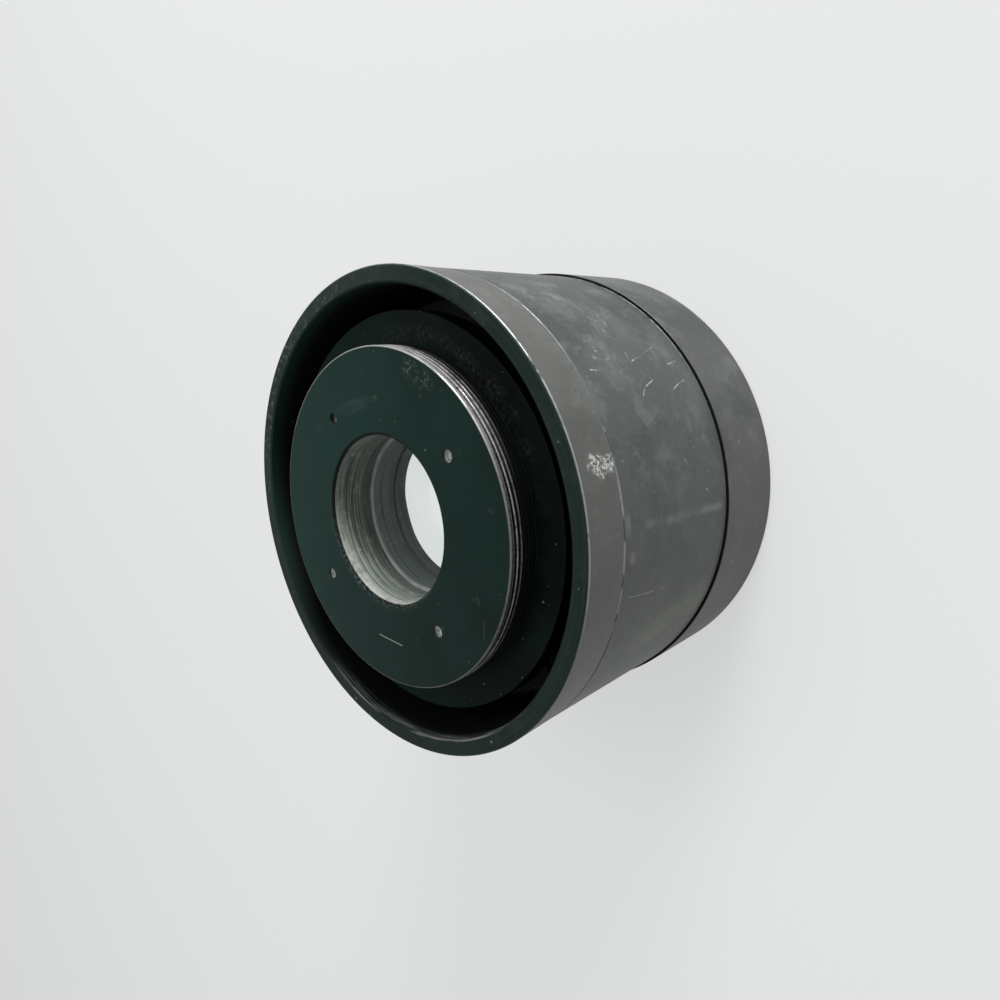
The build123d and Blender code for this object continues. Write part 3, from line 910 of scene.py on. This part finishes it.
def steelFinish(name):
    look = metalLooks[name]
    finish, start, point, *_ = turnedFinish(name)
    dull = noise(point, look["scale"], 4, look["grit"])
    least, spread = look["roughness"]
    colour = layered(look, "dark", (dull.fade(*look["reach"]), "pale"))
    return dress(finish, start, colour, least + dull * spread,
                 metallic=look["metallic"], normal=bump(dull, look["relief"]))


# Finish of the lenses: clear glass with a few specks of dust
glassLook = {
    "glass": {
        "Base Color": (0.97, 0.99, 0.98, 1), "Roughness": 0.0, "IOR": 1.6, "Transmission Weight": 1.0,
    },
    "dust": {"Base Color": (0.10, 0.11, 0.10, 1), "Roughness": 0.8},
}


def glassFinish():
    finish, start, point, *_ = turnedFinish("clearGlass")
    glass = start.node("ShaderNodeBsdfPrincipled", glassLook["glass"])
    grime = start.node("ShaderNodeBsdfPrincipled", glassLook["dust"])
    dots = specks(point, 330, 0.05, 0.10)
    surface = start.node("ShaderNodeMixShader", {0: dots, 1: glass, 2: grime})
    start.node("ShaderNodeOutputMaterial", {"Surface": surface})
    return finish


shellBlack = shellFinish()
rimBlack = rimFinish()
recessBlack = recessFinish()
plateBlack = plateFinish()
seatBlack = seatFinish()
threadMetal = threadFinish()
boreMetal = boreFinish()
sleeveGrey = sleeveFinish()
shimMetal = steelFinish("shimMetal")
drilledEnd = drilledFinish()
innerBlack = innerFinish()
bareSteel = steelFinish("bareSteel")
clearGlass = glassFinish()
print("finishes made")


# Outer barrel: shroud round the thread, web inside, socket for the nose ring
barrelSizes = {
    "recess": 14.9 * mm,
    "web": 6.0 * mm,
    "webBore": 23.1 * mm,
    "socketWall": 2.8 * mm,
    "scribeWidth": 0.3 * mm,
    "scribeDepth": 0.12 * mm,
    "scribeSoft": 0.04 * mm,
    "scribeRootSoft": 0.03 * mm,
    "rimSoft": 0.12 * mm,
    "shroudSoft": 0.10 * mm,
}


def makeBarrel():
    size = barrelSizes
    webTop = rimZ - size["recess"]
    webBottom = webTop - size["web"]
    socket = barrelR - size["socketWall"]
    half = size["scribeWidth"] / 2
    outside, face, dark = 0, 1, 2
    piece = turned("barrelShell", [
        (shroudR + edgeBreak, rimZ, face),
        (rimR - edgeBreak, rimZ, face, size["rimSoft"]),
        (rimR, rimZ - edgeBreak, outside, size["rimSoft"]),
        (barrelR, scribeZ + half, outside, size["scribeSoft"]),
        (barrelR - size["scribeDepth"], scribeZ, outside, size["scribeRootSoft"]),
        (barrelR, scribeZ - half, outside, size["scribeSoft"]),
        (barrelR, barrelEndZ + jointBreak, outside, jointSoft),
        (barrelR - jointBreak, barrelEndZ, dark, jointSoft),
        (socket, barrelEndZ, dark),
        (socket, webBottom, dark),
        (size["webBore"], webBottom, dark),
        (size["webBore"], webTop, dark),
        (shroudR, webTop, dark),
        (shroudR, rimZ - edgeBreak, dark, size["shroudSoft"]),
    ], [shellBlack, rimBlack, recessBlack], shellSegments)
    settle(piece, "shell_black", "outer_barrel")


# Nose ring: spigot into the barrel, flared hood round the front lens
noseSizes = {
    "spigotR": 26.98 * mm,
    "boreR": 23.98 * mm,
    "hoodDepth": 3.5 * mm,
    "hoodFlare": 3.0 * mm,
    "hoodSoft": 0.1 * mm,
    "endBreak": 0.5 * mm,
    "endSoft": 0.2 * mm,
}


def makeNose():
    size = noseSizes
    outside, dark = 0, 1
    piece = turned("noseShell", [
        (size["boreR"], spigotTopZ, dark),
        (size["spigotR"], spigotTopZ, dark),
        (size["spigotR"], noseTopZ, dark),
        (noseR - jointBreak, noseTopZ, outside, jointSoft),
        (noseR, noseTopZ - jointBreak, outside, jointSoft),
        (noseR, noseEndZ + size["endBreak"], outside, size["endSoft"]),
        (noseR - size["endBreak"], noseEndZ, outside, size["endSoft"]),
        (size["boreR"] + size["hoodFlare"], noseEndZ, dark, size["hoodSoft"]),
        (size["boreR"], noseEndZ + size["hoodDepth"], dark),
    ], [shellBlack, recessBlack], shellSegments)
    settle(piece, "shell_black", "nose_ring")


# Mount body: threaded boss with the front plate, seat flange and hub
mountSizes = {
    "threadEdge": 0.1 * mm,
    "flange": 3.0 * mm,
    "hubR": 23.0 * mm,
    "socketR": 19.0 * mm,
    "reliefR": 10.6 * mm,
    "reliefWidth": 1.5 * mm,
    "fineSoft": 0.04 * mm,
    "soft": 0.05 * mm,
    "seatSoft": 0.12 * mm,
    "threadRow": 0.045 * mm,
    "threadFoot": 0.05 * mm,
    "thread": {
        "Pitch": 0.635 * mm, "Depth": 0.36 * mm, "Runout": 0.30 * mm, "Lead": 0.35 * mm,
        "Shift": 0.23 * mm, "Reach": 0.30 * mm, "Crest": 0.16, "Root": 0.16,
    },
    "grooveFoot": 0.3 * mm,  # up from the relief
    "grooveTop": 1.2 * mm,  # down from the front plate
    "grooves": {
        "Pitch": 1.0 * mm, "Depth": -0.10 * mm, "Runout": 0.5 * mm, "Lead": 0.0,
        "Shift": 0.0, "Reach": 0.08 * mm, "Crest": 0.62, "Root": 0.06,
    },
    "holeR": 0.75 * mm,
    "holeDepth": 0.8 * mm,
    "drillPoint": 0.3 * mm,
    "drillAbove": 1.0 * mm,
    "holeCircle": 15.0 * mm,
    "holes": 4,
    "screwHoleR": 1.6 * mm,
    "screwDrillHalf": 4.0 * mm,
    "screws": 3,
}


def drillBit(name, radius, low, high, point):
    spots = [(0, low - point), (radius, low), (radius, high), (0, high)]
    return turned(name, [(*spot, 0, 0) for spot in spots], [], drillSegments)


def makeMount():
    size = mountSizes
    plate, bore, dark, seat = 0, 1, 2, 3
    edge = size["threadEdge"]
    reliefTop = boreEndZ + size["reliefWidth"]
    screwLow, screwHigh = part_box("cell_set_screws")
    piece = turned("mountShell", [
        (boreR, frontZ - boreEdge, plate, size["fineSoft"]),
        (boreR + boreEdge, frontZ, plate, size["soft"]),
        (threadR - edge, frontZ, plate, size["soft"]),
        (threadR, frontZ - edge, plate, size["fineSoft"], size["threadRow"]),
        (threadR, 0, seat, size["soft"]),
        (seatR, 0, seat, size["seatSoft"]),
        (seatR, -size["flange"], dark, size["seatSoft"]),
        (size["hubR"], -size["flange"], dark),
        (size["hubR"], hubEndZ, dark),
        (size["socketR"], hubEndZ, dark),
        (size["socketR"], boreEndZ, dark),
        (size["reliefR"], boreEndZ, bore),
        (size["reliefR"], reliefTop, bore),
        (boreR, reliefTop, bore, size["soft"], size["threadRow"]),
    ], [plateBlack, boreMetal, recessBlack, seatBlack], mountSegments)
    drill = drillBit("drill", size["holeR"], -size["holeDepth"], size["drillAbove"], size["drillPoint"])
    cutRound(piece, drill, size["holes"], size["holeCircle"], frontZ, drilledEnd)
    half = size["screwDrillHalf"]
    radial = drillBit("radialDrill", size["screwHoleR"], -half, half, 0)
    radial.data.transform(Matrix.Rotation(math.pi / 2, 4, "Y"))
    middle = (size["hubR"] + size["socketR"]) / 2
    cutRound(piece, radial, size["screws"], middle, (screwLow.z + screwHigh.z) / 2, recessBlack)
    applyTree(piece, threadCut, {
        **size["thread"], "Wall Radius": threadR, "Finish": threadMetal,
        "Low": size["threadFoot"], "High": frontZ - edge})
    applyTree(piece, threadCut, {
        **size["grooves"], "Wall Radius": boreR, "Finish": boreMetal,
        "Low": reliefTop + size["grooveFoot"], "High": frontZ - size["grooveTop"]})
    settle(piece, "mount_black", "mount_body")


# Plain rings inside, some with slots for a spanner
ringSizes = {
    "soft": 0.10 * mm,
    "slotWidth": 1.2 * mm,
    "slotDepth": 0.7 * mm,
    "slots": 2,
    "hubLockSlots": 4,
    "hubLockBore": 23.1 * mm,
    "stepWidth": 0.3 * mm,  # the sleeve and the shim stand this far inside the bore
    "retainingWidth": 1.0 * mm,
    "noseLockWidth": 3.1 * mm,
    "stopWidth": 3.5 * mm,
}


def plainRing(name, slotName, node, bore, finish, slots=0, slotHeight=0.0):
    size = ringSizes
    outer, low, high = turnedBox(node)
    spots = [(bore, low), (outer, low), (outer, high), (bore, high)]
    piece = turned(name, [(*spot, 0, size["soft"]) for spot in spots], [finish])
    if slots:
        cutter = cutBlock("slotCutter", (outer - bore) * 2, size["slotWidth"], size["slotDepth"] * 2)
        cutRound(piece, cutter, slots, (outer + bore) / 2, slotHeight, finish)
    settle(piece, slotName, node)


def slottedRing(name, node, width):  # a black ring with slots in its lower face
    outer, low, _ = turnedBox(node)
    plainRing(name, "inner_black", node, outer - width, innerBlack, ringSizes["slots"], low)


def makeRings():
    size = ringSizes
    lockTop = turnedBox("hub_lock_ring")[2]
    plainRing("hubLock", "inner_black", "hub_lock_ring", size["hubLockBore"], innerBlack,
              size["hubLockSlots"], lockTop)
    plainRing("sleeveTube", "bore_metal", "bore_sleeve", boreR - size["stepWidth"], sleeveGrey)
    plainRing("shimRing", "shim_steel", "cell_shim", boreR - size["stepWidth"], shimMetal)
    slottedRing("rearRing", "rear_retaining_ring", size["retainingWidth"])
    stopBore = turnedBox("aperture_stop")[0] - size["stopWidth"]
    plainRing("stopPlate", "inner_black", "aperture_stop", stopBore, innerBlack)
    slottedRing("frontRing", "front_retaining_ring", size["retainingWidth"])
    slottedRing("noseLock", "nose_lock_ring", size["noseLockWidth"])


# Cells and the spacer that hold the glass
cellSizes = {
    "throatR": 11.2 * mm,
    "lipR": 10.0 * mm,
    "rearWall": 2.8 * mm,
    "frontWall": 2.4 * mm,
    "frontLipWidth": 0.9 * mm,
    "lensGap": 0.1 * mm,
    "frontLipHeight": 1.8 * mm,
    "spacerWall": 3.2 * mm,
    "grooves": 4,
    "grooveDepth": 0.6 * mm,
}


def makeCells():
    size = cellSizes
    lensSeat = turnedBox("rear_flint_lens")[2]
    piece = turned("rearCellBody", [
        (size["throatR"], cellTopZ),
        (cellR, cellTopZ),
        (cellR, cellEndZ),
        (cellR - size["rearWall"], cellEndZ),
        (cellR - size["rearWall"], lensSeat),
        (size["lipR"], lensSeat),
        (size["lipR"], lipTopZ),
        (size["throatR"], lipTopZ),
    ], [sleeveGrey])
    settle(piece, "bore_metal", "rear_cell")
    outer, low, high = turnedBox("front_cell")
    pocket = outer - size["frontWall"]
    lip = pocket - size["lensGap"] - size["frontLipWidth"]
    piece = turned("frontCellBody", [
        (lip, high),
        (outer, high),
        (outer, low),
        (pocket, low),
        (pocket, high - size["frontLipHeight"]),
        (lip, high - size["frontLipHeight"]),
    ], [innerBlack])
    settle(piece, "inner_black", "front_cell")
    outer, low, high = turnedBox("spacer_tube")
    bore = outer - size["spacerWall"]
    pitch = (high - low) / (size["grooves"] + 1)
    line = [(bore, high), (outer, high), (outer, low), (bore, low)]
    deep = bore + size["grooveDepth"]
    for number in range(1, size["grooves"] + 1):
        foot = low + pitch * number - pitch / 4
        top = low + pitch * number + pitch / 4
        line += [(bore, foot), (deep, foot), (deep, top), (bore, top)]
    piece = turned("spacerTube", line, [innerBlack])
    settle(piece, "inner_black", "spacer_tube")


# Cemented doublets: each is one clear body with a blackened edge
glassSizes = {
    "rearCurve": 22.3 * mm,
    "frontTopCurve": 92.0 * mm,
    "frontCurve": 70.0 * mm,
    "arcSteps": 40,
}


def sag(curve, radius):
    return curve - math.sqrt(curve ** 2 - radius ** 2)


def lensArc(vertex, curve, radius, side):  # rim to vertex, side +1 where the rim is above the vertex
    steps = glassSizes["arcSteps"]
    line = []
    for step in range(steps):
        out = radius * (1 - step / steps)
        line.append((out, vertex + side * sag(curve, out), 0, 0))
    line.append((0, vertex, 0, 0))
    return line


def makeGlass():
    size = glassSizes
    clear, edge = 0, 1
    lensR, _, top = turnedBox("rear_flint_lens")
    vertex = turnedBox("rear_crown_lens")[1]
    line = [(0, top, clear, 0), (lensR, top, edge, 0)]
    line += lensArc(vertex, size["rearCurve"], lensR, 1)
    piece = turned("rearDoublet", line, [clearGlass, innerBlack])
    settle(piece, "crown_glass", "rear_flint_lens", "rear_crown_lens")
    lensR, _, vertexTop = turnedBox("front_crown_lens")
    vertexEnd = turnedBox("front_flint_lens")[1]
    line = lensArc(vertexTop, size["frontTopCurve"], lensR, -1)[::-1]
    line[-1] = (lensR, vertexTop - sag(size["frontTopCurve"], lensR), edge, 0)
    line += lensArc(vertexEnd, size["frontCurve"], lensR, 1)
    piece = turned("frontDoublet", line, [clearGlass, innerBlack])
    settle(piece, "flint_glass", "front_crown_lens", "front_flint_lens")


makeBarrel()
makeNose()
print("barrel and nose ring turned")
makeMount()
print("mount body turned and threaded")
makeRings()
makeCells()
makeGlass()
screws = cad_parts["cell_set_screws"]
screws.data.materials.clear()
screws.data.materials.append(bareSteel)
print("rings, cells and glass made")


# Camera at the photograph's viewing angle
shot = {
    "eye": Vector((68.35, -25.29, 56.92)) * mm,
    "right": Vector((0.5663, -0.4609, -0.6833)),
    "up": Vector((0.4880, 0.8556, -0.1726)),
    "lens": 26.29,
    "sensor": 36.0,
    "nearest": 1.0 * mm,
}


def shotAxes():  # right, up and back in the picture
    right = shot["right"].normalized()
    back = right.cross(shot["up"]).normalized()
    return right, back.cross(right), back


def makeCamera():
    camera = bpy.data.cameras.new("shotCamera")
    camera.lens = shot["lens"]
    camera.sensor_width = shot["sensor"]
    camera.clip_start = shot["nearest"]
    holder = addObject("shotCamera", camera)
    turn = Matrix(shotAxes()).transposed().to_4x4()
    holder.matrix_world = Matrix.Translation(shot["eye"]) @ turn
    bpy.context.scene.camera = holder


# Pale floor, soft lamps and a plain sky
stageLook = {
    "floorSize": 4.0,
    "floorSegments": 96,
    "floorDrop": 0.02 * mm,
    "floorColour": (0.80, 0.81, 0.81, 1),
    "floorGlow": (0.90, 0.915, 0.91, 1),
    "floorSeen": (0.6, 0.4),  # share of the glow that the camera and reflections see
    "sky": (1.0, 1.0, 1.0, 1),
    "skyStrength": 0.36,
    "skyGlow": 0.70,  # as the camera sees it, so that the floor meets it softly
    "skySeen": (1.0, 0.1),
    "lamps": {  # each way is right, up and back in the picture
        "keyLamp": {"way": (0.0, 1.0, 0.5), "distance": 0.55, "width": 0.22, "power": 3.4},
        "fillLamp": {"way": (-0.8, 0.3, 0.8), "distance": 0.8, "width": 0.5, "power": 1.4},
    },
}


def addLamp(name, way, distance, width, power):
    right, up, back = shotAxes()
    heading = (right * way[0] + up * way[1] + back * way[2]).normalized()
    lamp = bpy.data.lights.new(name, "AREA")
    lamp.shape = "DISK"
    lamp.size = width
    lamp.energy = power
    holder = addObject(name, lamp)
    holder.location = heading * distance
    holder.rotation_euler = heading.to_track_quat("Z", "Y").to_euler()


def seenMix(start, seen, plain, glow):  # plain as light, nearer to the glow where it is seen
    ray = start.node("ShaderNodeLightPath", out="Is Camera Ray")
    share = ray * seen[0] + ray.other("Is Glossy Ray") * seen[1] + ray.other("Is Transmission Ray")
    return start.node("ShaderNodeMixShader", {0: share.least(1), 1: plain, 2: glow})


def makeStage():
    look = stageLook
    shape = bmesh.new()
    bmesh.ops.create_circle(
        shape, cap_ends=True, segments=look["floorSegments"], radius=look["floorSize"])
    floor = addObject("floor", meshFrom(shape, "floor"))
    floor.data.transform(Matrix.Translation((0, 0, noseEndZ - look["floorDrop"])))
    finish, start = newFinish("paleFloor")
    plain = start.node("ShaderNodeBsdfDiffuse", {"Color": look["floorColour"]})
    glow = start.node("ShaderNodeEmission", {"Color": look["floorGlow"], "Strength": 1.0})
    surface = seenMix(start, look["floorSeen"], plain, glow)
    start.node("ShaderNodeOutputMaterial", {"Surface": surface})
    floor.data.materials.append(finish)
    world = bpy.data.worlds.new("sky")
    world.use_nodes = True
    world.node_tree.nodes.clear()
    start = Link(world.node_tree)
    plain, glow = [
        start.node("ShaderNodeBackground", {"Color": look["sky"], "Strength": look[strength]})
        for strength in ["skyStrength", "skyGlow"]]
    surface = seenMix(start, look["skySeen"], plain, glow)
    start.node("ShaderNodeOutputWorld", {"Surface": surface})
    bpy.context.scene.world = world
    for name, lamp in look["lamps"].items():
        addLamp(name, **lamp)


makeCamera()
makeStage()
bpy.context.scene.view_settings.view_transform = "Standard"
print("camera, floor and lamps placed")
